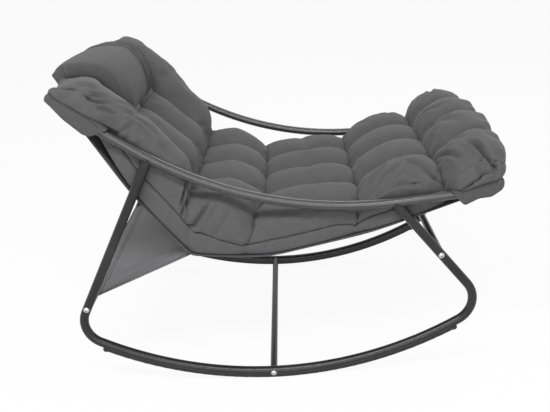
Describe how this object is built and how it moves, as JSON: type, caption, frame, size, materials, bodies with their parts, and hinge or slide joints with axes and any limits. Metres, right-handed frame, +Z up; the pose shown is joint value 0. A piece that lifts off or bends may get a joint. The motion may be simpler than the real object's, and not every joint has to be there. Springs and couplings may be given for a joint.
{
  "type": "rocking armchair",
  "caption": "Rocking armchair on two bent tube side frames with curved runners, a slung fabric seat and a thick tufted cushion with a head pillow.",
  "frame": {"origin": "On the floor, on the chair's centre plane, below the middle of its length.", "axes": "X runs from the head end to the foot end, Y from the sitter's right to the left, Z up."},
  "size_m": [1.1737, 0.8212, 0.9045],
  "materials": {
    "frame_paint": "satin",
    "bright_steel": "bright",
    "runner_rubber": "matt",
    "cap_plastic": "matt",
    "sling_weave": "woven",
    "sheet_weave": "woven",
    "cover_cloth": "woven"
  },
  "bodies": {
    "root": {"right_rail": "frame_paint", "left_rail": "frame_paint", "right_rocker_tube": "frame_paint", "left_rocker_tube": "frame_paint", "rail_end_caps": "cap_plastic", "rear_cross_tube": "frame_paint", "front_cross_tube": "frame_paint", "bottom_cross_tube": "frame_paint", "head_cross_tube": "frame_paint", "foot_cross_tube": "frame_paint", "cross_tube_inserts": "bright_steel", "frame_bolts": "bright_steel", "frame_bolt_washers": "bright_steel", "end_tube_inserts": "bright_steel", "end_tube_bolts": "bright_steel", "right_runner_strip": "runner_rubber", "left_runner_strip": "runner_rubber", "sling": "sling_weave", "rear_pull_sheet": "sheet_weave", "cushion": "cover_cloth", "head_pillow": "cover_cloth", "head_pocket": "cover_cloth", "foot_pocket": "cover_cloth"}
  },
  "joints": []
}
